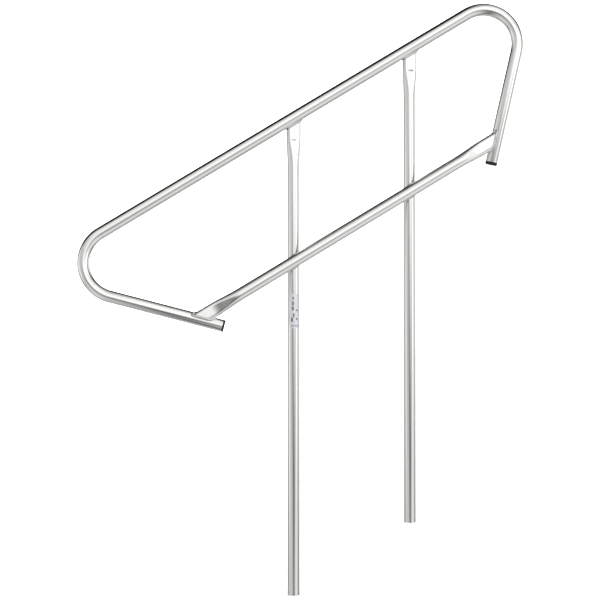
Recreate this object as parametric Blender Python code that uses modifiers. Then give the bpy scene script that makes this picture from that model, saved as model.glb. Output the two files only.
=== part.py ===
"""A welded pool handrail: a bent tube with two posts, a middle rail and a plug in the end of each arm.

X runs up the steps, Y away from the viewer and Z up. The origin is the centre of the lower post's foot.
"""

import math

import bmesh
import bpy
import numpy as np
from mathutils import Matrix, Vector

# Sizes, in metres
TUBE_OD = 0.03175
TUBE_WALL = 0.0032
STEP_RUN = 0.3048  # from the lower post to the upper post
STEP_RISE = 0.185
RAIL_HEIGHT = 1.241  # from a foot up to the top rail's axis
LOWER_REACH = 0.7963  # along the top rail, from the lower post down to the lower corner
TOP_SPAN = 1.538  # along the top rail, from corner to corner
ARM_ANGLE = math.radians(45.8)
ARM_LENGTH = 0.5116  # from a corner to the tube's end
BEND_RADIUS = 0.089
MID_DROP = 0.321  # from the top rail's axis to the middle rail's
LOOP_SETBACK = 0.0004  # how far the top rail's axis is behind the plane of the posts' fronts

PRESS_WIDTH = 0.0385  # the pressed ends, across
PRESS_DEPTH = 0.017
PRESS_TAPER = 0.042
POST_PRESS = 0.04  # length of the fully pressed part
MID_PRESS = 0.02
PRESS_POWER = 3.0  # 2 is an ellipse, and more is squarer
COPE_SHARE = 0.45  # how near to the other tube's axis a coped end reaches, as a share of its radius

END_BEAD = 0.0044  # bead radii
CROSSING_BEAD = 0.0046
CROSSING_BEAD_LENGTH = 0.02
CROSSING_BEAD_SHARE = 0.84  # distance from the middle rail's axis, as a share of its radius

PLUG_FLANGE = 0.0045
PLUG_SHANK = 0.022
PLUG_WALL = 0.0022
PLUG_RIB = 0.0012
PLUG_RIBS = 3
PLUG_CHAMFER = 0.001

LABEL_HEIGHT = 0.091
LABEL_WIDTH = 0.036  # round the tube
LABEL_THICKNESS = 0.0003
LABEL_DROP = 0.0825  # from the middle rail's axis down to the label's top
LABEL_START = math.radians(-119)  # angle of its left edge, where -90 degrees faces the viewer

GAP = 0.0003  # between pieces that touch

TUBE_SIDES = 28
BEND_STEPS = 18
TAPER_STEPS = 8
BEAD_POINTS = 36

# Values that follow from those
TUBE_R = TUBE_OD / 2
BORE_R = TUBE_R - TUBE_WALL
SLOPE = math.atan2(STEP_RISE, STEP_RUN)
LOOP_Y = LOOP_SETBACK - TUBE_R  # the plane of the top rail, which the posts and the middle rail share
MID_Y = -(TUBE_OD + GAP)

UP = Vector((0, 0, 1))
DEPTH = Vector((0, 1, 0))
ALONG = Vector((math.cos(SLOPE), 0, math.sin(SLOPE)))
ACROSS = Vector((-math.sin(SLOPE), 0, math.cos(SLOPE)))
LOWER_ARM = Vector((math.cos(SLOPE - ARM_ANGLE), 0, math.sin(SLOPE - ARM_ANGLE)))
UPPER_ARM = -Vector((math.cos(SLOPE + ARM_ANGLE), 0, math.sin(SLOPE + ARM_ANGLE)))

TOP_POINT = Vector((0, LOOP_Y, RAIL_HEIGHT))
LOWER_CORNER = TOP_POINT - LOWER_REACH * ALONG
UPPER_CORNER = LOWER_CORNER + TOP_SPAN * ALONG
FEET = {"lower": Vector((0, 0, 0)), "upper": Vector((STEP_RUN, 0, STEP_RISE))}
MID_POINT = Vector((0, MID_Y, RAIL_HEIGHT)) - MID_DROP * ACROSS  # a point on the middle rail's axis

ALUMINIUM = (0.78, 0.79, 0.80, 1)
WELD = (0.66, 0.67, 0.68, 1)
BLACK = (0.02, 0.02, 0.02, 1)
FOIL = (0.82, 0.83, 0.82, 1)


def clear_scene():
    for found in list(bpy.data.objects):
        bpy.data.objects.remove(found)


def new_collection(name):
    made = bpy.data.collections.new(name)
    bpy.context.scene.collection.children.link(made)
    return made


def add_object(name, data, collection):
    made = bpy.data.objects.new(name, data)
    collection.objects.link(made)
    return made


def add_mesh(name, points, faces, collection):
    mesh = bpy.data.meshes.new(name)
    mesh.from_pydata([tuple(p) for p in points], [], faces)
    mesh.validate()
    return add_object(name, mesh, collection)


def recalculate(obj):
    """Turns every face of a closed mesh outwards."""
    work = bmesh.new()
    work.from_mesh(obj.data)
    bmesh.ops.remove_doubles(work, verts=work.verts, dist=1e-6)
    bmesh.ops.recalc_face_normals(work, faces=work.faces)
    work.to_mesh(obj.data)
    work.free()


def curve_mesh(name, points, radius, sides, collection, closed=False, capped=False, swell=None):
    """A round bar swept along the points, as a mesh. The swell scales its radius point by point."""
    curve = bpy.data.curves.new(name, "CURVE")
    curve.dimensions = "3D"
    curve.fill_mode = "FULL"
    curve.bevel_depth = radius
    curve.bevel_resolution = sides // 2 - 2
    curve.use_fill_caps = capped
    spline = curve.splines.new("POLY")
    spline.points.add(len(points) - 1)
    for i, point in enumerate(points):
        spline.points[i].co = (*point, 1)
        spline.points[i].radius = 1 if swell is None else swell[i]
    spline.use_cyclic_u = closed
    guide = add_object(name + "_guide", curve, collection)
    bpy.context.view_layer.update()
    graph = bpy.context.evaluated_depsgraph_get()
    mesh = bpy.data.meshes.new_from_object(guide.evaluated_get(graph))
    mesh.transform(guide.matrix_world)
    bpy.data.objects.remove(guide)
    mesh.name = name
    made = add_object(name, mesh, collection)
    recalculate(made)
    return made


def hide_cutter(obj):
    obj.hide_render = True
    obj.display_type = "WIRE"


def difference(obj, cutter, solver="EXACT"):
    cut = obj.modifiers.new("cut_" + cutter.name, "BOOLEAN")
    cut.operation = "DIFFERENCE"
    cut.solver = solver
    cut.object = cutter


def hollow(obj):
    wall = obj.modifiers.new("wall", "SOLIDIFY")
    wall.thickness = TUBE_WALL
    wall.offset = -1
    wall.use_even_offset = True


def paint(obj, colour, metallic, roughness):
    material = bpy.data.materials.new(obj.name + "_material")
    material.use_nodes = True
    shader = material.node_tree.nodes["Principled BSDF"]
    shader.inputs["Base Color"].default_value = colour
    shader.inputs["Metallic"].default_value = metallic
    shader.inputs["Roughness"].default_value = roughness
    obj.data.materials.clear()
    obj.data.materials.append(material)
    for polygon in obj.data.polygons:
        polygon.material_index = 0
    obj.data.shade_smooth()
    obj.data.set_sharp_from_angle(angle=math.radians(40))


def turned(name, profile, place, axis, collection):
    """A profile of (radius, height) pairs spun about an axis, with height measured along it."""
    points = [(radius, 0, height) for radius, height in profile]
    edges = [(i, i + 1) for i in range(len(points) - 1)]
    mesh = bpy.data.meshes.new(name)
    mesh.from_pydata(points, edges, [])
    made = add_object(name, mesh, collection)
    spin = made.modifiers.new("spin", "SCREW")
    spin.axis = "Z"
    spin.steps = TUBE_SIDES
    spin.render_steps = TUBE_SIDES
    spin.use_merge_vertices = True
    spin.merge_threshold = 0.00001
    made.matrix_world = Matrix.Translation(place) @ axis.to_track_quat("Z", "X").to_matrix().to_4x4()
    return made


# The pressed tube ends


def outline(pressed, bed_side, grow=0, sides=TUBE_SIDES):
    """A tube's outline as (across, deep) pairs, round where pressed is 0 and flattened where it is 1.

    The side that lies on the press's bed, at bed_side times the radius, doesn't move.
    """
    turn = np.linspace(0, 2 * math.pi, sides, endpoint=False)
    cos = np.cos(turn)
    sin = np.sin(turn)
    round_shape = np.stack([cos, sin], axis=1) * (TUBE_R + grow)
    half = np.array([PRESS_WIDTH / 2 + grow, PRESS_DEPTH / 2 + grow])
    power = 2 / PRESS_POWER
    squared = np.stack([np.sign(cos) * np.abs(cos) ** power, np.sign(sin) * np.abs(sin) ** power], axis=1)
    flat_shape = squared * half + [0, bed_side * (TUBE_R - PRESS_DEPTH / 2)]
    return round_shape * (1 - pressed) + flat_shape * pressed


def pressed_share(distance, flat):
    """How far a tube is pressed at a distance from the tube that it meets."""
    t = min(max((distance - flat) / PRESS_TAPER, 0), 1)
    return 1 - t * t * (3 - 2 * t)


def end_stations(flat):
    """Distances from the meeting point, from the pressed end to where the tube is round again."""
    overrun = [-1.4 * TUBE_OD, 0]
    taper = [flat + PRESS_TAPER * i / TAPER_STEPS for i in range(TAPER_STEPS + 1)]
    return overrun + taper


def pressed_tube(name, origin, along, across, stations, bed_side, collection, grow=0, capped=False):
    """A loft through (distance along the axis, pressed share) stations."""
    points = []
    faces = []
    for distance, share in stations:
        for wide, deep in outline(share, bed_side, grow):
            points.append(origin + along * distance + across * wide + DEPTH * deep)
    for ring in range(len(stations) - 1):
        for i in range(TUBE_SIDES):
            j = (i + 1) % TUBE_SIDES
            a = ring * TUBE_SIDES
            b = a + TUBE_SIDES
            faces.append((a + i, a + j, b + j, b + i))
    if capped:
        last = (len(stations) - 1) * TUBE_SIDES
        faces.append(tuple(range(TUBE_SIDES)))
        faces.append(tuple(range(last + TUBE_SIDES - 1, last - 1, -1)))
    made = add_mesh(name, points, faces, collection)
    recalculate(made)
    return made


def meeting_distance(origin, along, corner, normal, clearance):
    """How far along a line from the origin a point is when it is this clear of the other tube's axis."""
    return (clearance - (origin - corner).dot(normal)) / along.dot(normal)


def inward_normal(direction, inside):
    """The normal of a straight tube, in the plane of the loop, that points at the inside of the loop."""
    normal = direction.cross(DEPTH).normalized()
    return normal if normal.dot(inside) > 0 else -normal


class Straight:
    """A straight run of the top rail that other tubes are coped to."""

    def __init__(self, name, corner, direction, inside):
        self.name = name
        self.corner = corner
        self.direction = direction
        self.normal = inward_normal(direction, inside)


TOP = Straight("top", LOWER_CORNER, ALONG, -ACROSS)
LOWER = Straight("lower_arm", LOWER_CORNER, LOWER_ARM, ALONG)
UPPER = Straight("upper_arm", UPPER_CORNER, UPPER_ARM, -ALONG)


def bar_cutter(run, middle, length, collection):
    """The run's solid tube, grown by the gap."""
    ends = [middle - run.direction * length / 2, middle + run.direction * length / 2]
    made = curve_mesh(run.name + "_bar", ends, TUBE_R + GAP, TUBE_SIDES, collection, capped=True)
    hide_cutter(made)
    return made


def slab_cutter(run, middle, length, collection):
    """Everything past the line that the coped ends stop at."""
    near = COPE_SHARE * TUBE_R
    far = -4 * TUBE_R
    sides = (run.direction * length / 2, DEPTH * 3 * TUBE_R)
    points = []
    for level in (near, far):
        for a, b in ((-1, -1), (1, -1), (1, 1), (-1, 1)):
            points.append(middle + run.normal * level + sides[0] * a + sides[1] * b)
    faces = [(0, 1, 2, 3), (7, 6, 5, 4), (0, 4, 5, 1), (1, 5, 6, 2), (2, 6, 7, 3), (3, 7, 4, 0)]
    made = add_mesh(run.name + "_slab", points, faces, collection)
    recalculate(made)
    hide_cutter(made)
    return made


# Each piece


def corner_arc(corner, first, second):
    """Points of the bend between two directions that both leave the corner."""
    middle = (first + second).normalized()
    half = first.angle(second) / 2
    centre = corner + middle * BEND_RADIUS / math.sin(half)
    start = corner + first * BEND_RADIUS / math.tan(half) - centre
    sweep = math.pi - 2 * half
    axis = start.cross(corner - centre).normalized()
    return [centre + Matrix.Rotation(sweep * i / BEND_STEPS, 3, axis) @ start for i in range(BEND_STEPS + 1)]


def make_top_rail(parts):
    lower_end = LOWER_CORNER + LOWER_ARM * ARM_LENGTH
    upper_end = UPPER_CORNER + UPPER_ARM * ARM_LENGTH
    points = [lower_end]
    points += corner_arc(LOWER_CORNER, LOWER_ARM, ALONG)
    points += corner_arc(UPPER_CORNER, -ALONG, UPPER_ARM)
    points += [upper_end]
    made = curve_mesh("top_rail", points, TUBE_R, TUBE_SIDES, parts)
    hollow(made)
    paint(made, ALUMINIUM, 1, 0.3)
    return made


def post_stations(origin, flat):
    """From the foot to past the top rail."""
    meets = meeting_distance(origin, UP, TOP.corner, TOP.normal, TUBE_R)
    ends = [(meets - d, pressed_share(d, flat)) for d in end_stations(flat)]
    return sorted(ends + [(0, 0)])


def mid_stations(flat):
    """From past the lower arm to past the upper arm, measured from the lower post."""
    low = meeting_distance(MID_POINT, ALONG, LOWER.corner, LOWER.normal, TUBE_R)
    high = meeting_distance(MID_POINT, ALONG, UPPER.corner, UPPER.normal, TUBE_R)
    ends = [(low + d, pressed_share(d, flat)) for d in end_stations(flat)]
    ends += [(high - d, pressed_share(d, flat)) for d in end_stations(flat)]
    return sorted(ends)


def make_post(which, parts, cutters):
    stations = post_stations(FEET[which], POST_PRESS)
    made = pressed_tube(which + "_post", FEET[which], UP, Vector((1, 0, 0)), stations, -1, parts)
    hollow(made)
    difference(made, cutters["top_slab"])
    difference(made, cutters["top_bar"])
    paint(made, ALUMINIUM, 1, 0.3)
    return made


def make_mid_rail(parts, cutters):
    made = pressed_tube("mid_rail", MID_POINT, ALONG, ACROSS, mid_stations(MID_PRESS), 1, parts)
    hollow(made)
    for name in ("lower_arm_slab", "upper_arm_slab", "lower_arm_bar", "upper_arm_bar"):
        difference(made, cutters[name])
    paint(made, ALUMINIUM, 1, 0.3)
    return made


def even_outline(bed_side, count):
    """Points at even spacing round the pressed outline."""
    fine = outline(1, bed_side, sides=720)
    fine = np.vstack([fine, fine[:1]])
    steps = np.linalg.norm(np.diff(fine, axis=0), axis=1)
    travelled = np.concatenate([[0], np.cumsum(steps)])
    wanted = np.linspace(0, travelled[-1], count, endpoint=False)
    return [(np.interp(w, travelled, fine[:, 0]), np.interp(w, travelled, fine[:, 1])) for w in wanted]


def end_bead_path(origin, along, across, bed_side, run):
    """Where a pressed end's outline meets the other tube's surface."""
    points = []
    for wide, deep in even_outline(bed_side, BEAD_POINTS):
        start = origin + across * wide + DEPTH * deep
        aside = start.y - LOOP_Y
        reach = math.sqrt(max(TUBE_R**2 - aside**2, (COPE_SHARE * TUBE_R) ** 2))
        distance = meeting_distance(start, along, run.corner, run.normal, reach)
        points.append(start + along * distance)
    return points


def make_end_bead(name, origin, along, across, bed_side, run, solid, parts, cutters):
    path = end_bead_path(origin, along, across, bed_side, run)
    made = curve_mesh(name, path, END_BEAD, 10, parts, closed=True)
    # The bead folds over itself inside the pressed end's corners, where the exact solver drops all of it.
    difference(made, solid, "MANIFOLD")
    difference(made, cutters[run.name + "_bar"], "MANIFOLD")
    paint(made, WELD, 1, 0.45)
    return made


def make_crossing_bead(name, foot, side, solids, parts):
    """A short bead in the corner between the middle rail and a post, above it (1) or below it (-1)."""
    level = side * CROSSING_BEAD_SHARE * TUBE_R
    crossing = MID_POINT + ALONG * ((foot.x - MID_POINT.x) / ALONG.x)
    centre = level * math.tan(SLOPE)
    points = []
    swell = []
    for i in range(9):
        t = i / 4 - 1
        point = crossing + ALONG * (centre + t * CROSSING_BEAD_LENGTH / 2) + ACROSS * level
        behind_rail = MID_Y + math.sqrt(TUBE_R**2 - level**2)
        before_post = -math.sqrt(TUBE_R**2 - (point.x - foot.x) ** 2)
        point.y = (behind_rail + before_post) / 2
        points.append(point)
        swell.append(math.sqrt(1 - 0.75 * t * t))
    made = curve_mesh(name, points, CROSSING_BEAD, 12, parts, capped=True, swell=swell)
    for solid in solids:
        difference(made, solid)
    paint(made, WELD, 1, 0.45)
    return made


def make_plug(name, corner, arm, parts):
    """A cup with ribs round its shank, pushed into the tube until its flange stops at the end."""
    outer = TUBE_R - PLUG_CHAMFER
    rib = BORE_R - GAP
    shank = rib - PLUG_RIB
    cup = shank - PLUG_WALL
    pitch = (PLUG_SHANK - 2 * PLUG_CHAMFER) / PLUG_RIBS
    profile = [(0, PLUG_FLANGE), (outer, PLUG_FLANGE), (TUBE_R, PLUG_FLANGE - PLUG_CHAMFER), (TUBE_R, GAP)]
    profile.append((shank, GAP))
    for i in range(PLUG_RIBS):
        top = -pitch * (i + 0.35)
        profile += [(shank, top), (rib, top - 0.1 * pitch), (shank, top - 0.55 * pitch)]
    profile += [(shank - PLUG_CHAMFER, -PLUG_SHANK), (cup, -PLUG_SHANK), (cup, 0), (0, 0)]
    end = corner + arm * ARM_LENGTH
    made = turned(name, profile, end, arm, parts)
    paint(made, BLACK, 0, 0.5)
    return made


def make_label(parts):
    """A thin sheet wrapped part of the way round the lower post."""
    radius = TUBE_R + GAP
    top = RAIL_HEIGHT - MID_DROP / math.cos(SLOPE) - LABEL_DROP
    name = "rating_label"
    mesh = bpy.data.meshes.new(name)
    mesh.from_pydata([(radius, 0, top - LABEL_HEIGHT), (radius, 0, top)], [(0, 1)], [])
    made = add_object(name, mesh, parts)
    wrap = made.modifiers.new("wrap", "SCREW")
    wrap.axis = "Z"
    wrap.angle = LABEL_WIDTH / radius
    wrap.steps = 16
    wrap.render_steps = 16
    sheet = made.modifiers.new("sheet", "SOLIDIFY")
    sheet.thickness = LABEL_THICKNESS
    sheet.offset = -1
    made.rotation_euler = (0, 0, LABEL_START)
    paint(made, FOIL, 0.6, 0.35)
    return made


def main():
    clear_scene()
    parts = new_collection("pool_handrail")
    helpers = new_collection("cutters")
    cutters = {}
    top_middle = TOP_POINT + ALONG * (STEP_RUN / ALONG.x / 2)
    places = (
        (TOP, top_middle, 2 * STEP_RUN),
        (LOWER, LOWER_CORNER + LOWER_ARM * (ARM_LENGTH - 3 * TUBE_OD), 10 * TUBE_OD),
        (UPPER, UPPER_CORNER + UPPER_ARM * (ARM_LENGTH - 3 * TUBE_OD), 10 * TUBE_OD),
    )
    for run, middle, length in places:
        cutters[run.name + "_bar"] = bar_cutter(run, middle, length, helpers)
        cutters[run.name + "_slab"] = slab_cutter(run, middle, length, helpers)

    make_top_rail(parts)
    make_mid_rail(parts, cutters)
    x_axis = Vector((1, 0, 0))
    mid_solid = pressed_tube(
        "mid_solid", MID_POINT, ALONG, ACROSS, mid_stations(MID_PRESS), 1, helpers, GAP, True
    )
    hide_cutter(mid_solid)
    for which, foot in FEET.items():
        make_post(which, parts, cutters)
        solid = pressed_tube(
            which + "_post_solid", foot, UP, x_axis, post_stations(foot, POST_PRESS), -1, helpers, GAP, True
        )
        hide_cutter(solid)
        make_end_bead(which + "_post_top_weld", foot, UP, x_axis, -1, TOP, solid, parts, cutters)
        for side, place in ((1, "above"), (-1, "below")):
            make_crossing_bead(f"{which}_crossing_weld_{place}", foot, side, (solid, mid_solid), parts)
    for name, run in (("mid_rail_lower_weld", LOWER), ("mid_rail_upper_weld", UPPER)):
        make_end_bead(name, MID_POINT, ALONG, ACROSS, 1, run, mid_solid, parts, cutters)
    make_plug("lower_end_plug", LOWER_CORNER, LOWER_ARM, parts)
    make_plug("upper_end_plug", UPPER_CORNER, UPPER_ARM, parts)
    make_label(parts)


main()
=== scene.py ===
"""Looks of a welded pool handrail: bent and pressed aluminium tubes, weld beads, end plugs and a label.

X runs up the steps, Y away from the viewer and Z up, in metres, as in the frame.
"""

import math

import bpy
import numpy as np
from mathutils import Matrix, Vector


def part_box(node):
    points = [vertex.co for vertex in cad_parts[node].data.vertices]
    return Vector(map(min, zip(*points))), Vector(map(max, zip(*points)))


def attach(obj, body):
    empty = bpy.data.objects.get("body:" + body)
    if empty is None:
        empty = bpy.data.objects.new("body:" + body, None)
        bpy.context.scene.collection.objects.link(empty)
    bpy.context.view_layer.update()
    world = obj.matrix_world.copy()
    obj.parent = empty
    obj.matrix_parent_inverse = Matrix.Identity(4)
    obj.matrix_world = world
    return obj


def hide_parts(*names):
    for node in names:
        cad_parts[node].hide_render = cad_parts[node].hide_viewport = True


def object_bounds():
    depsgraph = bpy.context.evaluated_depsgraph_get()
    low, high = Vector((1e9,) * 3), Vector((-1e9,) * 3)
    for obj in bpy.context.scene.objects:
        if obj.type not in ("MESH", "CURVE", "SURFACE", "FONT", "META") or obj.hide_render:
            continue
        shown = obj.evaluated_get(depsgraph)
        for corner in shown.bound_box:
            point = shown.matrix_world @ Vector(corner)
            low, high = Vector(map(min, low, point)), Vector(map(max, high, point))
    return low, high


bl_info = {
    "name": "Pool handrail",
    "version": (1, 0, 0),
    "blender": (4, 5, 0),
    "location": "3D View > Sidebar > Handrail",
    "description": "Builds the tubes, welds, plugs and label of a pool handrail, and a studio round it",
    "category": "Object",
}

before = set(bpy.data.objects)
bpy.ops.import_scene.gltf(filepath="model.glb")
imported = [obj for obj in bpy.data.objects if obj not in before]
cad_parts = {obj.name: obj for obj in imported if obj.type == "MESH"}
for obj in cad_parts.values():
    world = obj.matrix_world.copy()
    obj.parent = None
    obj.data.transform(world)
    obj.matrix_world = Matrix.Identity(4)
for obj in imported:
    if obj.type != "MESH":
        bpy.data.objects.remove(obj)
CAD_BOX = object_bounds()

UP = Vector((0, 0, 1))
DEPTH = Vector((0, 1, 0))
RIGHT = Vector((1, 0, 0))
TUBE_SIDES = 96
BEND_STEPS = 54
CUTTER_SIDES = 128
FLAT_STEPS = 14
TAPER_STEPS = 30
GAP = 0.0003  # left between pieces that touch
MERGE = 1e-6
ROUND_ANGLE = 35  # degrees between faces that still look like one round surface
OVERRUN = 1.4  # how far an end runs past the tube that it is coped to, in tube diameters


# Colours and numbers


def linear(hex_colour):
    """An sRGB hex value as linear red, green, blue and alpha."""
    made = []
    for i in (0, 2, 4):
        value = int(hex_colour[i : i + 2], 16) / 255
        made.append(value / 12.92 if value <= 0.04045 else ((value + 0.055) / 1.055) ** 2.4)
    return (*made, 1.0)


def smoothstep(t):
    t = np.clip(t, 0, 1)
    return t * t * (3 - 2 * t)


def middle_of(node):
    low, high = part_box(node)
    return (low + high) / 2


# Settings that a user would change


def length_setting(name, description, default):
    return bpy.props.FloatProperty(
        name=name, description=description, default=default, unit="LENGTH"
    )


def colour_setting(name, description, hex_colour):
    return bpy.props.FloatVectorProperty(
        name=name, description=description, default=linear(hex_colour), size=4, subtype="COLOR"
    )


class HANDRAIL_PG_tubes(bpy.types.PropertyGroup):
    diameter: length_setting("Tube diameter", "Outside diameter of every tube", 0.03175)
    wall: length_setting("Tube wall", "Wall thickness of every tube", 0.0032)
    rail_height: length_setting("Rail height", "From a foot up to the top rail's axis", 1.241)
    lower_reach: length_setting("Lower reach", "From the lower post down to the lower corner", 0.7963)
    top_span: length_setting("Top span", "Along the top rail, from corner to corner", 1.538)
    arm_angle: bpy.props.FloatProperty(
        name="Arm angle",
        description="Between the top rail and each arm",
        default=math.radians(45.8),
        subtype="ANGLE",
    )
    arm_length: length_setting("Arm length", "From a corner to the tube's end", 0.5116)
    bend_radius: length_setting("Bend radius", "Of the tube's axis, at both bends", 0.0892)
    mid_drop: length_setting("Middle rail drop", "From the top rail's axis to the middle rail's", 0.321)
    rim: length_setting("Deburred rim", "Rounding of the cut edges", 0.0004)


class HANDRAIL_PG_pressed_ends(bpy.types.PropertyGroup):
    flat_width: length_setting("Flat", "Width of the flats that the press leaves on a tube's end", 0.0186)
    taper: length_setting("Taper", "Length over which the tube becomes round again", 0.085)
    post_flat: length_setting("Post's flat", "Fully pressed length of a post", 0.025)
    mid_flat: length_setting("Middle rail's flat", "Fully pressed length of the middle rail", 0.02)
    cope: bpy.props.FloatProperty(
        name="Cope",
        description="How near to the other tube's axis an end reaches",
        default=0.45,
        subtype="FACTOR",
    )
    edge_place: length_setting("Edge place", "From the top rail to the nick in a post's flat", 0.041)
    edge_mark: length_setting("Edge mark", "Depth of the nick from the bed's edge", 0.0018)


class HANDRAIL_PG_welds(bpy.types.PropertyGroup):
    end_bead: length_setting("End bead", "Radius of the beads round the pressed ends", 0.0034)
    stop_swell: bpy.props.FloatProperty(
        name="Stop swell",
        description="How much thicker a bead is where it stops at a corner",
        default=0.45,
        subtype="FACTOR",
    )
    stop_length: length_setting("Stop length", "Of the thick part of a bead at a corner", 0.004)
    crater: length_setting("Crater", "Depth of the pit where a post's bead ends", 0.0036)
    crater_radius: length_setting("Crater radius", "Of the pit where a post's bead ends", 0.0018)
    crossing_bead: length_setting("Crossing bead", "Radius of the beads where tubes cross", 0.0045)
    crossing_length: length_setting("Crossing length", "Of a bead where tubes cross", 0.02)
    crossing_level: bpy.props.FloatProperty(
        name="Crossing level", description="Distance from the middle rail's axis, in radii", default=0.84
    )
    ripple: length_setting("Ripple pitch", "From one frozen ripple to the next", 0.0024)
    ripple_height: bpy.props.FloatProperty(
        name="Ripple height",
        description="As a share of the bead's radius",
        default=0.09,
        subtype="FACTOR",
    )


class HANDRAIL_PG_plugs(bpy.types.PropertyGroup):
    flange: length_setting("Flange", "Thickness outside the tube", 0.0055)
    shank: length_setting("Shank", "Length in the tube", 0.022)
    wall: length_setting("Wall", "Of the shank", 0.0022)
    rib: length_setting("Rib", "Height of the gripping ribs", 0.0012)
    ribs: bpy.props.IntProperty(name="Ribs", description="How many gripping ribs", default=3)
    chamfer: length_setting("Chamfer", "Round the flange", 0.0007)


class HANDRAIL_PG_label(bpy.types.PropertyGroup):
    width: length_setting("Width", "Round the tube", 0.036)
    start: bpy.props.FloatProperty(
        name="Start", description="Angle of the left edge", default=math.radians(-119), subtype="ANGLE"
    )
    thickness: length_setting("Thickness", "Of the film", 0.0003)


class HANDRAIL_PG_finish(bpy.types.PropertyGroup):
    tube: colour_setting("Tube", "Colour of the drawn tube", "F5F5F3")
    weld: colour_setting("Weld", "Colour of the beads", "E8E9E9")
    plug: colour_setting("Plug", "Colour of the plugs", "0B0B0C")
    film: colour_setting("Film", "Colour of the label", "D2D3D7")
    ink: colour_setting("Ink", "Colour of the label's print", "55565A")
    floor: colour_setting("Floor", "Colour of the studio floor", "F4F4F2")


GROUPS = {
    "handrail_tubes": HANDRAIL_PG_tubes,
    "handrail_pressed_ends": HANDRAIL_PG_pressed_ends,
    "handrail_welds": HANDRAIL_PG_welds,
    "handrail_plugs": HANDRAIL_PG_plugs,
    "handrail_label": HANDRAIL_PG_label,
    "handrail_finish": HANDRAIL_PG_finish,
}


# Where the tubes run


class Straight:
    """A straight run of the bent tube that other tubes are coped to."""

    def __init__(self, corner, direction, inside):
        self.corner = corner
        self.direction = direction
        normal = direction.cross(DEPTH).normalized()
        self.normal = normal if normal.dot(inside) > 0 else -normal


class Bend:
    """A bend of the top rail, between two directions that both leave its corner."""

    def __init__(self, corner, first, second, radius):
        half = first.angle(second) / 2
        self.centre = corner + (first + second).normalized() * radius / math.sin(half)
        self.start = corner + first * radius / math.tan(half)
        self.end = corner + second * radius / math.tan(half)
        self.sweep = math.pi - 2 * half
        self.axis = (self.start - self.centre).cross(self.end - self.centre).normalized()
        self.radius = radius


class Layout:
    """The handrail's lines, from the boxes of its CAD pieces and the settings."""

    def __init__(self, scene):
        tubes = scene.handrail_tubes
        self.radius = tubes.diameter / 2
        self.feet = {}
        for which in ("lower", "upper"):
            low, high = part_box(which + "_post")
            middle = (low + high) / 2
            self.feet[which] = Vector((middle.x, middle.y, low.z))
        step = self.feet["upper"] - self.feet["lower"]
        self.slope = math.atan2(step.z, step.x)
        self.along = Vector((math.cos(self.slope), 0, math.sin(self.slope)))
        self.across = Vector((-math.sin(self.slope), 0, math.cos(self.slope)))
        self.loop_y = middle_of("top_rail").y
        self.mid_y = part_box("mid_rail")[0].y + self.radius
        foot = self.feet["lower"]
        self.top_point = Vector((foot.x, self.loop_y, foot.z + tubes.rail_height))
        self.mid_point = Vector((foot.x, self.mid_y, foot.z + tubes.rail_height))
        self.mid_point -= self.across * tubes.mid_drop
        low_angle = self.slope - tubes.arm_angle
        high_angle = self.slope + tubes.arm_angle
        self.lower_arm = Vector((math.cos(low_angle), 0, math.sin(low_angle)))
        self.upper_arm = -Vector((math.cos(high_angle), 0, math.sin(high_angle)))
        self.lower_corner = self.top_point - self.along * tubes.lower_reach
        self.upper_corner = self.lower_corner + self.along * tubes.top_span
        self.lower_end = self.lower_corner + self.lower_arm * tubes.arm_length
        self.upper_end = self.upper_corner + self.upper_arm * tubes.arm_length
        self.top = Straight(self.lower_corner, self.along, -self.across)
        self.lower = Straight(self.lower_corner, self.lower_arm, self.along)
        self.upper = Straight(self.upper_corner, self.upper_arm, -self.along)
        self.lower_bend = Bend(self.lower_corner, self.lower_arm, self.along, tubes.bend_radius)
        self.upper_bend = Bend(self.upper_corner, -self.along, self.upper_arm, tubes.bend_radius)


def meeting_distance(origin, along, run, clearance):
    """How far along a line from the origin a point is when it is this clear of the run's axis."""
    return (clearance - (origin - run.corner).dot(run.normal)) / along.dot(run.normal)


# Modelling by hand


def deselect_all():
    if bpy.context.object and bpy.context.object.mode != "OBJECT":
        bpy.ops.object.mode_set(mode="OBJECT")
    bpy.ops.object.select_all(action="DESELECT")


def make_active(obj):
    deselect_all()
    obj.select_set(True)
    bpy.context.view_layer.objects.active = obj


def facing(across, axis):
    """Turns X to across and Z to axis."""
    return Matrix((across, axis.cross(across), axis)).transposed()


def add_ring(name, place, across, axis, radius, sides=TUBE_SIDES):
    """A circle round a place, square to the axis, left in edit mode with all of it selected."""
    deselect_all()
    bpy.ops.mesh.primitive_circle_add(
        vertices=sides, radius=radius, location=place, rotation=facing(across, axis).to_euler()
    )
    made = bpy.context.object
    made.name = name
    made.data.name = name
    bpy.ops.object.transform_apply(location=True, rotation=True, scale=True)
    bpy.ops.object.mode_set(mode="EDIT")
    bpy.ops.mesh.select_all(action="SELECT")
    return made


def extrude(step):
    bpy.ops.mesh.extrude_region_move(TRANSFORM_OT_translate={"value": tuple(step)})


def spin(bend):
    bpy.ops.mesh.spin(steps=BEND_STEPS, angle=-bend.sweep, center=bend.centre, axis=bend.axis)


def close_up():
    """Merges doubles, turns all faces outwards and leaves edit mode."""
    bpy.ops.mesh.select_all(action="SELECT")
    bpy.ops.mesh.remove_doubles(threshold=MERGE)
    bpy.ops.mesh.normals_make_consistent(inside=False)
    bpy.ops.object.mode_set(mode="OBJECT")


def apply_modifier(obj, kind, **settings):
    make_active(obj)
    added = obj.modifiers.new(kind.lower(), kind)
    for key, value in settings.items():
        setattr(added, key, value)
    bpy.ops.object.modifier_apply(modifier=added.name)


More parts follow.
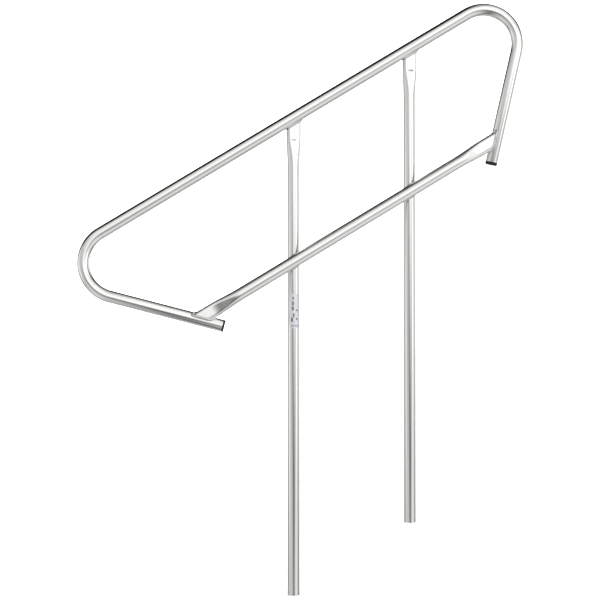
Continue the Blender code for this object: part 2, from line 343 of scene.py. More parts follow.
def give_wall(obj, wall, rim):
    """Thickens a tube's skin inwards and rounds its cut edges."""
    apply_modifier(obj, "SOLIDIFY", thickness=wall, offset=-1, use_even_offset=True)
    cut_edge = math.radians(60)
    apply_modifier(obj, "BEVEL", width=rim, segments=2, limit_method="ANGLE", angle_limit=cut_edge)


def cut(obj, cutter):
    apply_modifier(obj, "BOOLEAN", operation="DIFFERENCE", solver="EXACT", object=cutter)


def remove(obj):
    mesh = obj.data
    bpy.data.objects.remove(obj)
    bpy.data.meshes.remove(mesh)


def cope(obj, layout, run, near, share):
    """Cuts a tube's end to the run's round, and squarely where it would reach too far round it."""
    radius = layout.radius
    place = run.corner + run.direction * (near - run.corner).dot(run.direction)
    length = 16 * radius
    far = 4 * radius
    deselect_all()
    bpy.ops.mesh.primitive_cube_add(
        size=1,
        location=place + run.normal * (share * radius - far / 2),
        rotation=facing(run.direction, run.normal).to_euler(),
        scale=(length, 6 * radius, far),
    )
    slab = bpy.context.object
    cut(obj, slab)
    remove(slab)
    deselect_all()
    bpy.ops.mesh.primitive_cylinder_add(
        vertices=CUTTER_SIDES,
        radius=radius + GAP,
        depth=length,
        location=place,
        rotation=facing(run.normal, run.direction).to_euler(),
    )
    bar = bpy.context.object
    cut(obj, bar)
    remove(bar)


def positions(obj):
    found = np.empty(len(obj.data.vertices) * 3)
    obj.data.vertices.foreach_get("co", found)
    return found.reshape(-1, 3)


def move_vertices(obj, points):
    obj.data.vertices.foreach_set("co", points.ravel())
    obj.data.update()


def mark_tube_place(obj, places):
    """Keeps each point's place on its own tube, for the drawn finish to follow."""
    attribute = obj.data.attributes.new("tube_place", "FLOAT_VECTOR", "POINT")
    attribute.data.foreach_set("vector", np.asarray(places, float).ravel())


def smooth(obj, angle):
    make_active(obj)
    bpy.ops.object.shade_smooth_by_angle(angle=math.radians(angle))


def hand_in(obj, node, slot, *materials):
    """Gives a finished piece its finish and its place in the frame."""
    obj.data.materials.clear()
    for material in materials:
        obj.data.materials.append(material)
    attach(obj, "root")
    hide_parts(node)


# Finishes


def add_node(tree, kind, links=None, **settings):
    """A node with its settings, and its inputs linked to a socket or set to a plain value."""
    made = tree.nodes.new(kind)
    for key, value in settings.items():
        setattr(made, key, value)
    for key, value in (links or {}).items():
        if isinstance(value, bpy.types.NodeSocket):
            tree.links.new(value, made.inputs[key])
        else:
            made.inputs[key].default_value = value
    return made


def new_finish(name, colour, metallic, roughness, **settings):
    """A material with its shader, and the shader's own settings."""
    material = bpy.data.materials.new(name)
    material.use_nodes = True
    shader = material.node_tree.nodes["Principled BSDF"]
    shader.inputs["Base Color"].default_value = colour
    shader.inputs["Metallic"].default_value = metallic
    shader.inputs["Roughness"].default_value = roughness
    for key, value in settings.items():
        shader.inputs[key.replace("_", " ")].default_value = value
    return material, material.node_tree, shader


def drawn_aluminium(colour):
    """Drawn 6000-series tube as it leaves the die: a bright metal with soft reflections drawn out along
    the tube, faint lengthwise die lines and a slightly cloudy oxide."""
    material, tree, shader = new_finish("drawn aluminium tube", colour, 1.0, 0.2)
    place = add_node(tree, "ShaderNodeAttribute", attribute_name="tube_place").outputs["Vector"]
    # Die lines are about 0.2 mm apart, and are drawn 1.6 mm apart so that they show.
    stretched = add_node(
        tree, "ShaderNodeMapping", {"Vector": place, "Scale": (1 / 0.0016, 1 / 0.0016, 1 / 0.4)}
    )
    lines = add_node(
        tree,
        "ShaderNodeTexNoise",
        {"Vector": stretched.outputs[0], "Scale": 1.0, "Detail": 2.0, "Roughness": 0.6},
    )
    # The oxide clouds over patches 30 mm across.
    clouds_place = add_node(
        tree, "ShaderNodeMapping", {"Vector": place, "Scale": (1 / 0.03, 1 / 0.03, 1 / 0.12)}
    )
    clouds = add_node(
        tree, "ShaderNodeTexNoise", {"Vector": clouds_place.outputs[0], "Scale": 1.0, "Detail": 3.0}
    )
    rough = add_node(
        tree,
        "ShaderNodeMapRange",
        {"Value": clouds.outputs["Fac"], "From Min": 0.3, "From Max": 0.7, "To Min": 0.14, "To Max": 0.2},
    )
    tree.links.new(rough.outputs[0], shader.inputs["Roughness"])
    grey = tuple(0.97 * c for c in colour[:3]) + (1.0,)
    tone = add_node(
        tree,
        "ShaderNodeMix",
        {"Factor": lines.outputs["Fac"], "A": colour, "B": grey},
        data_type="RGBA",
    )
    tree.links.new(tone.outputs["Result"], shader.inputs["Base Color"])
    bump = add_node(
        tree, "ShaderNodeBump", {"Height": lines.outputs["Fac"], "Strength": 0.06, "Distance": 0.00005}
    )
    tree.links.new(bump.outputs[0], shader.inputs["Normal"])
    return material


def as_welded_aluminium(colour):
    """Filler metal as it froze: duller and whiter than the tube, with fine pits and sooty patches."""
    material, tree, shader = new_finish("as-welded aluminium", colour, 1.0, 0.36)
    place = add_node(tree, "ShaderNodeTexCoord").outputs["Object"]
    soot = add_node(tree, "ShaderNodeTexNoise", {"Vector": place, "Scale": 1 / 0.006, "Detail": 3.0})
    rough = add_node(
        tree,
        "ShaderNodeMapRange",
        {"Value": soot.outputs["Fac"], "From Min": 0.35, "From Max": 0.7, "To Min": 0.28, "To Max": 0.5},
    )
    tree.links.new(rough.outputs[0], shader.inputs["Roughness"])
    dull = tuple(0.72 * c for c in colour[:3]) + (1.0,)
    share = add_node(
        tree,
        "ShaderNodeMapRange",
        {"Value": soot.outputs["Fac"], "From Min": 0.5, "From Max": 0.75, "To Min": 0.0, "To Max": 1.0},
    )
    tone = add_node(
        tree, "ShaderNodeMix", {"Factor": share.outputs[0], "A": colour, "B": dull}, data_type="RGBA"
    )
    tree.links.new(tone.outputs["Result"], shader.inputs["Base Color"])
    pits = add_node(tree, "ShaderNodeTexNoise", {"Vector": place, "Scale": 1 / 0.0012, "Detail": 2.0})
    bump = add_node(
        tree, "ShaderNodeBump", {"Height": pits.outputs["Fac"], "Strength": 0.3, "Distance": 0.0002}
    )
    tree.links.new(bump.outputs[0], shader.inputs["Normal"])
    return material


def smut_and_painted_pit_shade(colour):
    """Black paint where the arc was broken off: painted shade in the weld's crater, and magnesium smut in
    a spot beside it; a dull soot that rubs thin in spots.
    """
    material, tree, shader = new_finish("weld smut and painted pit shade", colour, 0.0, 0.8)
    place = add_node(tree, "ShaderNodeTexCoord").outputs["Object"]
    grain = add_node(tree, "ShaderNodeTexNoise", {"Vector": place, "Scale": 1 / 0.0006, "Detail": 1.0})
    thin = tuple(3 * c for c in colour[:3]) + (1.0,)
    tone = add_node(
        tree,
        "ShaderNodeMix",
        {"Factor": grain.outputs["Fac"], "A": colour, "B": thin},
        data_type="RGBA",
    )
    tree.links.new(tone.outputs["Result"], shader.inputs["Base Color"])
    return material


def moulded_ldpe(colour):
    """Moulded black LDPE: waxy, with a fine spark-eroded grain and a soft highlight."""
    material, tree, shader = new_finish(
        "moulded LDPE", colour, 0.0, 0.5, IOR=1.51, Specular_IOR_Level=0.3
    )
    place = add_node(tree, "ShaderNodeTexCoord").outputs["Object"]
    grain = add_node(tree, "ShaderNodeTexNoise", {"Vector": place, "Scale": 1 / 0.0008, "Detail": 2.0})
    rough = add_node(
        tree,
        "ShaderNodeMapRange",
        {"Value": grain.outputs["Fac"], "From Min": 0.3, "From Max": 0.7, "To Min": 0.44, "To Max": 0.58},
    )
    tree.links.new(rough.outputs[0], shader.inputs["Roughness"])
    bump = add_node(
        tree, "ShaderNodeBump", {"Height": grain.outputs["Fac"], "Strength": 0.25, "Distance": 0.0001}
    )
    tree.links.new(bump.outputs[0], shader.inputs["Normal"])
    return material


def printed_film(name, colour, metallic, roughness):
    """Clear-coated polyester film: slightly glossy, with small creases where it was smoothed on."""
    material, tree, shader = new_finish(name, colour, metallic, roughness, IOR=1.57, Coat_Weight=0.4)
    place = add_node(tree, "ShaderNodeTexCoord").outputs["Object"]
    stretched = add_node(
        tree, "ShaderNodeMapping", {"Vector": place, "Scale": (1 / 0.012, 1 / 0.012, 1 / 0.004)}
    )
    creases = add_node(
        tree, "ShaderNodeTexNoise", {"Vector": stretched.outputs[0], "Scale": 1.0, "Detail": 1.0}
    )
    wear = tuple(0.85 * c for c in colour[:3]) + (1.0,)
    tone = add_node(
        tree,
        "ShaderNodeMix",
        {"Factor": creases.outputs["Fac"], "A": colour, "B": wear},
        data_type="RGBA",
    )
    tree.links.new(tone.outputs["Result"], shader.inputs["Base Color"])
    bump = add_node(
        tree, "ShaderNodeBump", {"Height": creases.outputs["Fac"], "Strength": 0.2, "Distance": 0.0003}
    )
    tree.links.new(bump.outputs[0], shader.inputs["Normal"])
    return material


def finish_of(name, make, *values):
    """The material with this name, made the first time."""
    found = bpy.data.materials.get(name)
    return found if found else make(*values)


def tube_finish(scene):
    return finish_of("drawn aluminium tube", drawn_aluminium, tuple(scene.handrail_finish.tube))


def weld_finish(scene):
    return finish_of("as-welded aluminium", as_welded_aluminium, tuple(scene.handrail_finish.weld))


# Near-black: painted shade in a weld's crater, and smut beside it.
def smut_and_pit_shade_finish():
    return finish_of("weld smut and painted pit shade", smut_and_painted_pit_shade, linear("1E1D1C"))


# Pieces


def rail_places(points, layout):
    """Across, deep and along for points of the bent tube, measured along its axis."""
    bends = (layout.lower_bend, layout.upper_bend)
    lower_run = (layout.lower_bend.start - layout.lower_end).length
    bend_run = layout.lower_bend.radius * layout.lower_bend.sweep
    top_run = (layout.upper_bend.start - layout.lower_bend.end).length
    starts = (lower_run, lower_run + bend_run + top_run)
    runs = (
        (layout.lower_end, -layout.lower_arm, lower_run, 0),
        (layout.lower_bend.end, layout.along, top_run, lower_run + bend_run),
        (
            layout.upper_bend.end,
            layout.upper_arm,
            (layout.upper_end - layout.upper_bend.end).length,
            lower_run + 2 * bend_run + top_run,
        ),
    )
    made = []
    slack = 1e-5
    near = 1.1 * layout.radius
    for point in points:
        point = Vector(point)
        deep = point.y - layout.loop_y
        best = None
        for bend, begins in zip(bends, starts):
            spoke = point - bend.centre
            spoke.y = 0
            first = bend.start - bend.centre
            turn = math.atan2(first.cross(spoke).dot(bend.axis), first.dot(spoke))
            within = abs(spoke.length - bend.radius) < near
            if within and -slack < turn < bend.sweep + slack:
                best = (bend.radius - spoke.length, deep, begins + turn * bend.radius)
        if best is None:
            for start, direction, length, begins in runs:
                reach = (point - start).dot(direction)
                side = (point - start).dot(direction.cross(DEPTH))
                if -0.01 < reach < length + 0.01 and abs(side) < near:
                    best = (side, deep, begins + reach)
        if best is None:
            raise RuntimeError(f"a point of the top rail isn't on its axis: {point}")
        made.append(best)
    return made


class HANDRAIL_OT_top_rail(bpy.types.Operator):
    """One long tube with a bend at each end, which carry on as the two arms"""

    bl_idname = "handrail.top_rail"
    bl_label = "Top rail"

    def execute(self, context):
        layout = Layout(context.scene)
        tubes = context.scene.handrail_tubes
        lower, upper = layout.lower_bend, layout.upper_bend
        rail = add_ring("bent_top_rail", layout.lower_end, DEPTH, -layout.lower_arm, layout.radius)
        extrude(lower.start - layout.lower_end)
        spin(lower)
        extrude(upper.start - lower.end)
        spin(upper)
        extrude(layout.upper_end - upper.end)
        close_up()
        give_wall(rail, tubes.wall, tubes.rim)
        mark_tube_place(rail, rail_places(positions(rail), layout))
        smooth(rail, ROUND_ANGLE)
        hand_in(rail, "top_rail", "aluminium_tube", tube_finish(context.scene))
        return {"FINISHED"}


class PressedTube:
    """A straight tube with pressed ends, built about its own axis."""

    def __init__(self, scene, origin, along, across, bed_side):
        self.tubes = scene.handrail_tubes
        self.ends = scene.handrail_pressed_ends
        self.radius = self.tubes.diameter / 2
        self.origin = origin
        self.along = along
        self.across = across
        self.bed_side = bed_side

    def share(self, distance, flat):
        """How far the tube is pressed at a distance from the tube that it meets."""
        return 1 - smoothstep((distance - flat) / self.ends.taper)

    def places(self, points):
        offset = points - np.array(self.origin)
        return np.stack([offset @ np.array(v) for v in (self.across, DEPTH, self.along)], axis=1)

    def outline(self, turn, share):
        """Across and deep at an angle: round at share 0, and two flats with round sides at share 1."""
        flat = self.ends.flat_width * share
        # The press doesn't stretch the metal, so the way round the tube stays as long as it was.
        side = self.radius - flat / math.pi
        from_flat = np.abs(math.pi / 2 - np.abs(turn)) * self.radius
        bend = np.clip((from_flat - flat / 2) / side, 0, math.pi / 2)
        wide = np.minimum(from_flat, flat / 2) + side * np.sin(bend)
        deep = side * np.cos(bend)
        # The flat that lies on the press's bed stays where the round tube's side was.
        bed = self.bed_side * (self.radius - side)
        return np.sign(np.cos(turn)) * wide, np.sign(np.sin(turn)) * deep + bed

    def build(self, name, rings):
        """A round tube through (distance along the axis) rings, still a skin."""
        made = add_ring(
            name, self.origin + self.along * rings[0], self.across, self.along, self.radius
        )
        for here, there in zip(rings, rings[1:]):
            extrude(self.along * (there - here))
        close_up()
        return made

    def press(self, obj, meets):
        """Presses the skin near each (distance, flat, into the tube) end."""
        points = positions(obj)
        places = self.places(points)
        turn = np.arctan2(places[:, 1], places[:, 0])
        share = np.zeros(len(points))
        for distance, flat, side in meets:
            share = np.maximum(share, self.share((places[:, 2] - distance) * side, flat))
        wide, deep = self.outline(turn, share)
        moved = (
            np.array(self.origin)
            + np.outer(wide, self.across)
            + np.outer(deep, DEPTH)
            + np.outer(places[:, 2], self.along)
        )
        move_vertices(obj, moved)

    def nick(self, obj, distance, aside, deep):
        """A short lens-shaped nick across the flat, from the edge of the press's bed."""
        points = positions(obj)
        places = self.places(points)
        half_width, half_length = 0.006, 0.0016
        from_middle = (places[:, 0] - aside) / half_width
        from_edge = (places[:, 2] - distance) / half_length
        fall = from_middle**2 + from_edge**2
        front = places[:, 1] * self.bed_side > 0
        points[:, 1] -= np.where(front, self.bed_side * deep * np.exp(-fall), 0)
        move_vertices(obj, points)


def end_rings(distance, flat, taper, side, overrun):
    """Rings from past the tube that is met, over the flat and the taper, to where this one is round."""
    made = [distance - side * overrun]
    made += [distance + side * flat * i / FLAT_STEPS for i in range(FLAT_STEPS + 1)]
    made += [distance + side * (flat + taper * i / TAPER_STEPS) for i in range(1, TAPER_STEPS + 1)]
    return made


class HANDRAIL_OT_posts(bpy.types.Operator):
    """Two upright tubes, pressed at the top and coped to the top rail"""

    bl_idname = "handrail.posts"
    bl_label = "Posts"

    def execute(self, context):
        scene = context.scene
        layout = Layout(scene)
        tubes, ends = scene.handrail_tubes, scene.handrail_pressed_ends
        # The lower post's nick is fainter, and the upper post's is a little to the right.
        for which, aside, nick in (("lower", 0.0, 0.35), ("upper", 0.0012, 1.0)):
            foot = layout.feet[which]
            post = PressedTube(scene, foot, UP, RIGHT, -1)
            meets = meeting_distance(foot, UP, layout.top, layout.radius)
            edge = meets - ends.edge_place
            rings = end_rings(meets, ends.post_flat, ends.taper, -1, OVERRUN * tubes.diameter)
            # The nick is only 3 mm long, so rings stand close together round it.
            rings += [edge + 0.0004 * i for i in range(-10, 11)]
            rings = [0] + sorted(rings)
            made = post.build(f"pressed_{which}_post", rings)
            post.press(made, [(meets, ends.post_flat, -1)])
            post.nick(made, edge, aside, nick * ends.edge_mark)
            give_wall(made, tubes.wall, tubes.rim)
            cope(made, layout, layout.top, foot + UP * meets, ends.cope)
            mark_tube_place(made, post.places(positions(made)))
            smooth(made, ROUND_ANGLE)
            hand_in(made, which + "_post", "aluminium_tube", tube_finish(scene))
        return {"FINISHED"}


class HANDRAIL_OT_mid_rail(bpy.types.Operator):
    """The tube in front of the posts, pressed at both ends and coped to the arms"""

    bl_idname = "handrail.mid_rail"
    bl_label = "Middle rail"

    def execute(self, context):
        scene = context.scene
        layout = Layout(scene)
        tubes, ends = scene.handrail_tubes, scene.handrail_pressed_ends
        origin, along = layout.mid_point, layout.along
        rail = PressedTube(scene, origin, along, layout.across, 1)
        low = meeting_distance(origin, along, layout.lower, layout.radius)
        high = meeting_distance(origin, along, layout.upper, layout.radius)
        overrun = OVERRUN * tubes.diameter
        rings = sorted(
            end_rings(low, ends.mid_flat, ends.taper, 1, overrun)
            + end_rings(high, ends.mid_flat, ends.taper, -1, overrun)
        )
        made = rail.build("pressed_mid_rail", rings)
        rail.press(made, [(low, ends.mid_flat, 1), (high, ends.mid_flat, -1)])
        give_wall(made, tubes.wall, tubes.rim)
        cope(made, layout, layout.lower, origin + along * low, ends.cope)
        cope(made, layout, layout.upper, origin + along * high, ends.cope)
        mark_tube_place(made, rail.places(positions(made)))
        smooth(made, ROUND_ANGLE)
        hand_in(made, "mid_rail", "aluminium_tube", tube_finish(scene))
        return {"FINISHED"}


def add_bead(name, points, radii, closed):
    """A round bar along the points with a radius at each, as a mesh."""
    deselect_all()
    curve = bpy.data.curves.new(name, "CURVE")
    curve.dimensions = "3D"
    curve.fill_mode = "FULL"
    curve.bevel_depth = 1.0
    curve.bevel_resolution = 6
    curve.use_fill_caps = not closed
    line = curve.splines.new("POLY")
    line.points.add(len(points) - 1)
    for target, point, radius in zip(line.points, points, radii):
        target.co = (*point, 1)
        target.radius = radius
    line.use_cyclic_u = closed
    made = bpy.data.objects.new(name, curve)
    bpy.context.scene.collection.objects.link(made)
    make_active(made)
    bpy.ops.object.convert(target="MESH")
    made = bpy.context.object
    bpy.ops.object.mode_set(mode="EDIT")
    close_up()
    return made


def rippled(travelled, welds, radius):
    """Radii that rise slowly and fall sharply once every ripple, as a bead freezes."""
    phase = (travelled / welds.ripple) % 1
    return radius * (1 - welds.ripple_height * (1 - phase) ** 1.5)


def leave_crater(obj, place, welds):
    """A pit in the front of a bead, where the arc was broken off."""
    points = positions(obj)
    away = np.hypot(points[:, 0] - place[0], points[:, 2] - place[2])
    pit = welds.crater * np.exp(-((away / welds.crater_radius) ** 2))
    points[:, 1] += np.where(points[:, 1] < place[1], pit, 0)
    move_vertices(obj, points)


def leave_smut_and_pit_shade(obj, place, welds):
    """Black in the crater as painted shade of the pit, and smut in a spot beside it."""
    for polygon in obj.data.polygons:
        x, y, z = polygon.center - Vector(place)
        near = min(math.hypot(x, z + 0.001), math.hypot(x + 0.0035, z + 0.003))
        if y < 0 and near < welds.crater_radius:
            polygon.material_index = 1


class HANDRAIL_OT_end_welds(bpy.types.Operator):
    """Beads all round the four pressed ends"""

    bl_idname = "handrail.end_welds"
    bl_label = "End welds"

    def execute(self, context):
        scene = context.scene
        layout = Layout(scene)
        ends, welds = scene.handrail_pressed_ends, scene.handrail_welds
        jobs = (
            ("lower_post_top_weld", layout.feet["lower"], UP, RIGHT, -1, layout.top),
            ("upper_post_top_weld", layout.feet["upper"], UP, RIGHT, -1, layout.top),
            ("mid_rail_lower_weld", layout.mid_point, layout.along, layout.across, 1, layout.lower),
            ("mid_rail_upper_weld", layout.mid_point, layout.along, layout.across, 1, layout.upper),
        )
        for node, origin, along, across, bed_side, run in jobs:
            tube = PressedTube(scene, origin, along, across, bed_side)
            turns = np.linspace(-math.pi, math.pi, 2880, endpoint=False)
            wide, deep = tube.outline(turns, np.ones(len(turns)))
            path = []
            for w, d in zip(wide, deep):
                start = origin + across * w + DEPTH * d
                aside = start.y - layout.loop_y
                reach = math.sqrt(max(layout.radius**2 - aside**2, (ends.cope * layout.radius) ** 2))
                path.append(start + along * meeting_distance(start, along, run, reach))
            path = np.array(path)
            steps = np.linalg.norm(np.diff(np.vstack([path, path[:1]]), axis=0), axis=1)
            travelled = np.concatenate([[0], np.cumsum(steps)])
            count = 7 * round(travelled[-1] / welds.ripple)
            wanted = np.linspace(0, travelled[-1], count, endpoint=False)
            loop = np.vstack([path, path[:1]])
            points = np.stack([np.interp(wanted, travelled, loop[:, k]) for k in range(3)], axis=1)
            even = wanted * round(travelled[-1] / welds.ripple) * welds.ripple / travelled[-1]
            radii = rippled(even, welds, welds.end_bead)
            for corner in (0.0, travelled[len(path) // 2], travelled[-1]):
                swell = np.exp(-(((wanted - corner) / welds.stop_length) ** 2))
                radii = radii * (1 + welds.stop_swell * swell)
            made = add_bead("rippled_" + node, points, radii, True)
            # A little way round from the left corner, where the rail doesn't hide it.
            crater = path[len(path) // 13]
            if run is layout.top:
                leave_crater(made, crater, welds)
            smooth(made, 60)
            # The second finish is black: painted shade in the crater, and smut beside it.
            hand_in(made, node, "weld_metal", weld_finish(scene), smut_and_pit_shade_finish())
            if run is layout.top:
                # Paints the crater black as its shade, and a spot beside it as smut.
                leave_smut_and_pit_shade(made, crater, welds)
        return {"FINISHED"}


class HANDRAIL_OT_crossing_welds(bpy.types.Operator):
    """Short beads above and below the middle rail where it crosses each post"""

    bl_idname = "handrail.crossing_welds"
    bl_label = "Crossing welds"

    def execute(self, context):
        scene = context.scene
        layout = Layout(scene)
        welds = scene.handrail_welds
        radius = layout.radius
        for which, side, word in (
            ("lower", 1, "above"),
            ("lower", -1, "below"),
            ("upper", 1, "above"),
            ("upper", -1, "below"),
        ):
            node = f"{which}_crossing_weld_{word}"
            foot = layout.feet[which]
            level = side * welds.crossing_level * radius
            crossing = layout.mid_point + layout.along * ((foot.x - layout.mid_point.x) / layout.along.x)
            centre = level * math.tan(layout.slope)
            points, radii = [], []
            for t in np.linspace(-1, 1, 61):
                point = crossing + layout.along * (centre + t * welds.crossing_length / 2)
                point += layout.across * level
                behind_rail = layout.mid_y + math.sqrt(radius**2 - level**2)
                before_post = foot.y - math.sqrt(radius**2 - (point.x - foot.x) ** 2)
                point.y = (behind_rail + before_post) / 2
                swell = math.sqrt(1 - 0.75 * t * t) * welds.crossing_bead
                points.append(point)
                radii.append(rippled((t + 1) * welds.crossing_length / 2, welds, swell))
            made = add_bead("rippled_" + node, points, radii, False)
            smooth(made, 60)
            hand_in(made, node, "weld_metal", weld_finish(scene))
        return {"FINISHED"}


class HANDRAIL_OT_end_plugs(bpy.types.Operator):
    """Black plugs with a rounded flange and a ribbed cup, pushed into the arms"""

    bl_idname = "handrail.end_plugs"
    bl_label = "End plugs"

    def execute(self, context):
        scene = context.scene
        layout = Layout(scene)
        plugs = scene.handrail_plugs
        radius = layout.radius
        rib = radius - scene.handrail_tubes.wall - GAP
        shank = rib - plugs.rib
        cup = shank - plugs.wall
        pitch = (plugs.shank - 2 * plugs.chamfer) / plugs.ribs
        top = plugs.flange
        profile = [(0.0016, top - 0.0004), (0.002, top - 0.0001), (0.0024, top), (0.7 * radius, top)]
        for i in range(1, 7):
            turn = math.radians(90 * i / 6)
            out = radius - plugs.chamfer + plugs.chamfer * math.sin(turn)
            profile.append((out, top - plugs.chamfer + plugs.chamfer * math.cos(turn)))
        profile += [(radius, GAP + 0.0002), (radius - 0.0002, GAP), (shank, GAP)]
        for i in range(plugs.ribs):
            level = -pitch * (i + 0.35)
            profile += [(shank, level), (rib, level - 0.1 * pitch), (shank, level - 0.55 * pitch)]
        profile += [(shank - plugs.chamfer, -plugs.shank), (cup, -plugs.shank), (cup, 0), (0.001, 0)]
        for node, end, arm in (
            ("lower_end_plug", layout.lower_end, layout.lower_arm),
            ("upper_end_plug", layout.upper_end, layout.upper_arm),
        ):
            first = profile[0]
            made = add_ring("ribbed_" + node, end + arm * first[1], DEPTH, arm, first[0], 72)
            bpy.ops.mesh.edge_face_add()
            bpy.ops.mesh.select_mode(type="EDGE")
            for (r, h), (next_r, next_h) in zip(profile, profile[1:]):
                if r == profile[0][0] and h == profile[0][1]:
                    select_border(made)
                bpy.ops.mesh.extrude_edges_move(
                    TRANSFORM_OT_translate={"value": tuple(arm * (next_h - h))}
                )
                share = next_r / r
                bpy.ops.transform.resize(value=(share, share, share), center_override=end + arm * next_h)
            bpy.ops.mesh.edge_face_add()
            close_up()
            smooth(made, 40)
            finish = finish_of("moulded LDPE", moulded_ldpe, tuple(scene.handrail_finish.plug))
            hand_in(made, node, "plug_plastic", finish)
        return {"FINISHED"}


def select_border(obj):
    """Selects the open edges, in edit mode."""
    bpy.ops.mesh.select_all(action="SELECT")
    bpy.ops.mesh.region_to_loop()


# The label's print in millimetres from its lower left corner: (left, right, low, high).
PRINT_BARS = (
    (4.5, 7.5, 75.0, 83.0),
    (4.0, 7.5, 60.0, 70.0),
    (3.5, 8.0, 47.0, 57.0),
    (14.0, 18.0, 45.0, 50.0),
    (6.0, 10.0, 30.0, 39.0),
    (1.5, 6.0, 18.0, 29.0),
    (14.0, 18.0, 22.0, 28.0),
    (1.5, 33.0, 5.5, 7.5),
)


class HANDRAIL_OT_rating_label(bpy.types.Operator):
    """A printed film wrapped part of the way round the lower post"""

    bl_idname = "handrail.rating_label"
    bl_label = "Label"

    def execute(self, context):
        scene = context.scene
        layout = Layout(scene)
        label, finish = scene.handrail_label, scene.handrail_finish
        low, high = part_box("rating_label")
        foot = layout.feet["lower"]
        inner = layout.radius + GAP
        height = high.z - low.z
        wide = round(label.width * 1000)
        tall = round(height * 1000)
        deselect_all()
        bpy.ops.mesh.primitive_grid_add(
            x_subdivisions=wide, y_subdivisions=tall, size=1, location=(0.5, 0.5, 0), calc_uvs=True
        )
        made = bpy.context.object
        made.name = "printed_rating_label"
        made.data.name = made.name
        bpy.ops.object.transform_apply(location=True, rotation=True, scale=True)
        points = positions(made)
        ink = []
        for polygon in made.data.polygons:
            x, y = polygon.center.x * wide, polygon.center.y * tall
            ink.append(any(a < x < b and c < y < d for a, b, c, d in PRINT_BARS))
        turn = label.start + points[:, 0] * label.width / inner
        wrapped = np.stack(
            [foot.x + inner * np.cos(turn), foot.y + inner * np.sin(turn), low.z + points[:, 1] * height],
            axis=1,
        )
        move_vertices(made, wrapped)
        for polygon, inked in zip(made.data.polygons, ink):
            polygon.material_index = int(inked)
        make_active(made)
        bpy.ops.object.mode_set(mode="EDIT")
        bpy.ops.mesh.select_all(action="SELECT")
        bpy.ops.mesh.normals_make_consistent(inside=False)
        bpy.ops.object.mode_set(mode="OBJECT")
        face = made.data.polygons[0]
        if face.normal.dot(face.center - Vector((foot.x, foot.y, face.center.z))) < 0:
            bpy.ops.object.mode_set(mode="EDIT")
            bpy.ops.mesh.flip_normals()
            bpy.ops.object.mode_set(mode="OBJECT")
        apply_modifier(made, "SOLIDIFY", thickness=label.thickness, offset=1)
        smooth(made, ROUND_ANGLE)
        indices = [polygon.material_index for polygon in made.data.polygons]
        film = printed_film("printed film", tuple(finish.film), 0.7, 0.36)
        print_ink = printed_film("printed ink", tuple(finish.ink), 0.0, 0.35)
        hand_in(made, "rating_label", "label_film", film, print_ink)
        for polygon, index in zip(made.data.polygons, indices):
            polygon.material_index = index
        return {"FINISHED"}


# The studio


def toward(azimuth, elevation):
    """The direction at an azimuth, 0 on the viewer's side and 90 on the right, and an elevation."""
    a, e = math.radians(azimuth), math.radians(elevation)
    return Vector((math.sin(a) * math.cos(e), -math.cos(a) * math.cos(e), math.sin(e)))


# A studio of soft panels: azimuth, elevation, how far each spreads in degrees, and how bright it is.
# The places and strengths follow a computed fit of the tubes' reflections, cut to fewer panels and
# rounded.
# The ceiling stays dark, which draws the dark line along the top of each sloping tube.
SOFT_LIGHTS = (
    # A bank of three panels above the viewer
    (-40, 30, 45, 0.75),
    (0, 30, 45, 0.5),
    (40, 30, 45, 0.75),
    # A window behind the viewer
    (10, 5, 30, 1.0),
    # Upright panels at the sides
    (60, 5, 30, 1.0),
    (120, 5, 30, 1.25),
    (-90, 0, 35, 1.0),
    # A raised panel on the right
    (60, 60, 40, 0.5),
    # Panels behind the object
    (180, 5, 35, 0.5),
    (-150, -10, 35, 1.0),
    # Light from the floor
    (60, -35, 50, 1.0),
    (-50, -35, 50, 0.75),
    (150, -45, 45, 0.5),
    (-120, -60, 45, 0.5),
)
FAINT = 0.02  # light from between the panels


def make_surroundings():
    """Soft light from large pale panels all round, under a dark ceiling."""
    world = bpy.data.worlds.new("soft studio")
    bpy.context.scene.world = world
    world.use_nodes = True
    tree = world.node_tree
    tree.nodes.clear()
    direction = add_node(tree, "ShaderNodeTexCoord").outputs["Generated"]
    total = FAINT
    for azimuth, elevation, spread, strength in SOFT_LIGHTS:
        nearness = add_node(
            tree,
            "ShaderNodeVectorMath",
            {0: direction, 1: toward(azimuth, elevation)},
            operation="DOT_PRODUCT",
        ).outputs["Value"]
        light = add_node(
            tree,
            "ShaderNodeMapRange",
            {0: nearness, 1: math.cos(math.radians(spread)), 2: 1.0, 3: 0.0, 4: strength},
            interpolation_type="SMOOTHSTEP",
        ).outputs[0]
        total = add_node(tree, "ShaderNodeMath", {0: light, 1: total}, operation="ADD").outputs[0]
    background = add_node(tree, "ShaderNodeBackground", {"Strength": total})
    add_node(tree, "ShaderNodeOutputWorld", {"Surface": background.outputs[0]})


# The viewer stands nearly square on, a little to the left, and looks above the lower post's foot.
VIEW_AIM = Vector((0.016, -0.0159, 0.7661))
VIEW_FROM = (-4.01, -0.75)  # azimuth and elevation, in degrees
VIEW_DISTANCE = 3.855
VIEW_LENS = 89.04  # mm


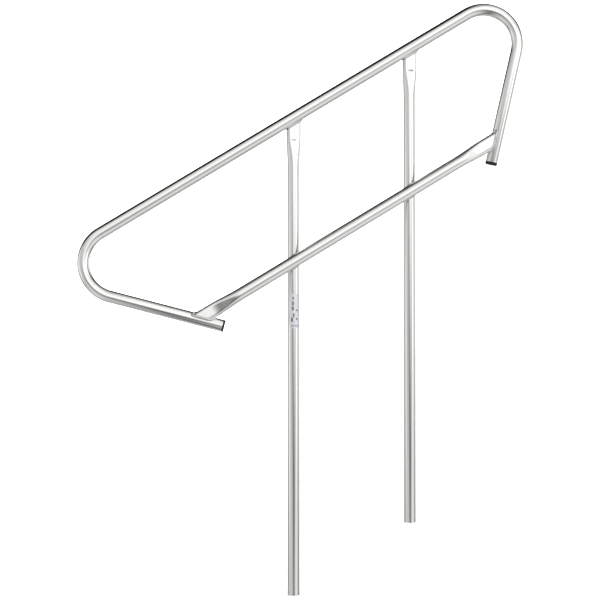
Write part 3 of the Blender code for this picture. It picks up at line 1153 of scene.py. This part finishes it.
class HANDRAIL_OT_stage(bpy.types.Operator):
    """A pale floor, soft light and the camera"""

    bl_idname = "handrail.stage"
    bl_label = "Stage"

    def execute(self, context):
        scene = context.scene
        layout = Layout(scene)
        low, high = CAD_BOX
        centre = (low + high) / 2
        deselect_all()
        bpy.ops.mesh.primitive_plane_add(size=80, location=(centre.x, centre.y, low.z - 0.0005))
        floor = bpy.context.object
        floor.name = "studio_floor"
        bpy.ops.object.transform_apply(location=True, rotation=True, scale=True)
        floor.visible_glossy = False
        pale = tuple(scene.handrail_finish.floor)
        material, tree, shader = new_finish("matt white paper", pale, 0.0, 0.9)
        place = add_node(tree, "ShaderNodeTexCoord").outputs["Object"]
        pulp = add_node(tree, "ShaderNodeTexNoise", {"Vector": place, "Scale": 4.0, "Detail": 2.0})
        rough = add_node(
            tree, "ShaderNodeMapRange", {"Value": pulp.outputs["Fac"], "To Min": 0.85, "To Max": 0.95}
        )
        tree.links.new(rough.outputs[0], shader.inputs["Roughness"])
        floor.data.materials.append(material)
        deselect_all()
        bpy.ops.mesh.primitive_cylinder_add(
            vertices=TUBE_SIDES,
            radius=34,
            depth=24,
            end_fill_type="NOTHING",
            location=(centre.x, centre.y, low.z + 11.99),
        )
        wall = bpy.context.object
        wall.name = "studio_wall"
        # Only the camera sees the lit wall: the tubes reflect the soft panels instead.
        bpy.ops.object.transform_apply(location=True, rotation=True, scale=True)
        for way in ("visible_glossy", "visible_diffuse", "visible_shadow"):
            setattr(wall, way, False)
        lit, _, shader = new_finish("lit white backdrop", pale, 0.0, 1.0)
        shader.inputs["Emission Color"].default_value = (1, 1, 1, 1)
        shader.inputs["Emission Strength"].default_value = 1.0
        wall.data.materials.append(lit)
        make_surroundings()
        deselect_all()
        bpy.ops.object.light_add(type="SUN", location=(0, 0, 4), rotation=(math.radians(12), 0, 0))
        sky = bpy.context.object
        sky.name = "overhead_softbox"
        sky.data.energy = 4.6
        sky.data.angle = math.radians(120)
        sky.visible_glossy = False
        aim = layout.feet["lower"] + VIEW_AIM
        bpy.ops.object.camera_add(location=aim + toward(*VIEW_FROM) * VIEW_DISTANCE)
        camera = bpy.context.object
        camera.name = "viewer"
        camera.rotation_euler = (aim - camera.location).to_track_quat("-Z", "Y").to_euler()
        camera.data.sensor_width = 36
        camera.data.lens = VIEW_LENS
        camera.data.dof.use_dof = False
        scene.camera = camera
        scene.view_settings.view_transform = "Standard"
        return {"FINISHED"}


class HANDRAIL_PT_panel(bpy.types.Panel):
    bl_label = "Pool handrail"
    bl_idname = "HANDRAIL_PT_panel"
    bl_space_type = "VIEW_3D"
    bl_region_type = "UI"
    bl_category = "Handrail"

    def draw(self, context):
        for group, kind in GROUPS.items():
            box = self.layout.box()
            for key in kind.__annotations__:
                box.prop(getattr(context.scene, group), key)
        for operator in OPERATORS:
            self.layout.operator(operator.bl_idname)


OPERATORS = (
    HANDRAIL_OT_top_rail,
    HANDRAIL_OT_mid_rail,
    HANDRAIL_OT_posts,
    HANDRAIL_OT_end_welds,
    HANDRAIL_OT_crossing_welds,
    HANDRAIL_OT_end_plugs,
    HANDRAIL_OT_rating_label,
    HANDRAIL_OT_stage,
)


def register():
    for kind in (*GROUPS.values(), *OPERATORS, HANDRAIL_PT_panel):
        bpy.utils.register_class(kind)
    for name, kind in GROUPS.items():
        setattr(bpy.types.Scene, name, bpy.props.PointerProperty(type=kind))


def unregister():
    for name in GROUPS:
        delattr(bpy.types.Scene, name)
    for kind in reversed((*GROUPS.values(), *OPERATORS, HANDRAIL_PT_panel)):
        bpy.utils.unregister_class(kind)


def main():
    register()
    bpy.ops.handrail.top_rail()
    bpy.ops.handrail.mid_rail()
    bpy.ops.handrail.posts()
    bpy.ops.handrail.end_welds()
    bpy.ops.handrail.crossing_welds()
    bpy.ops.handrail.end_plugs()
    bpy.ops.handrail.rating_label()
    bpy.ops.handrail.stage()


if __name__ == "__main__":
    main()
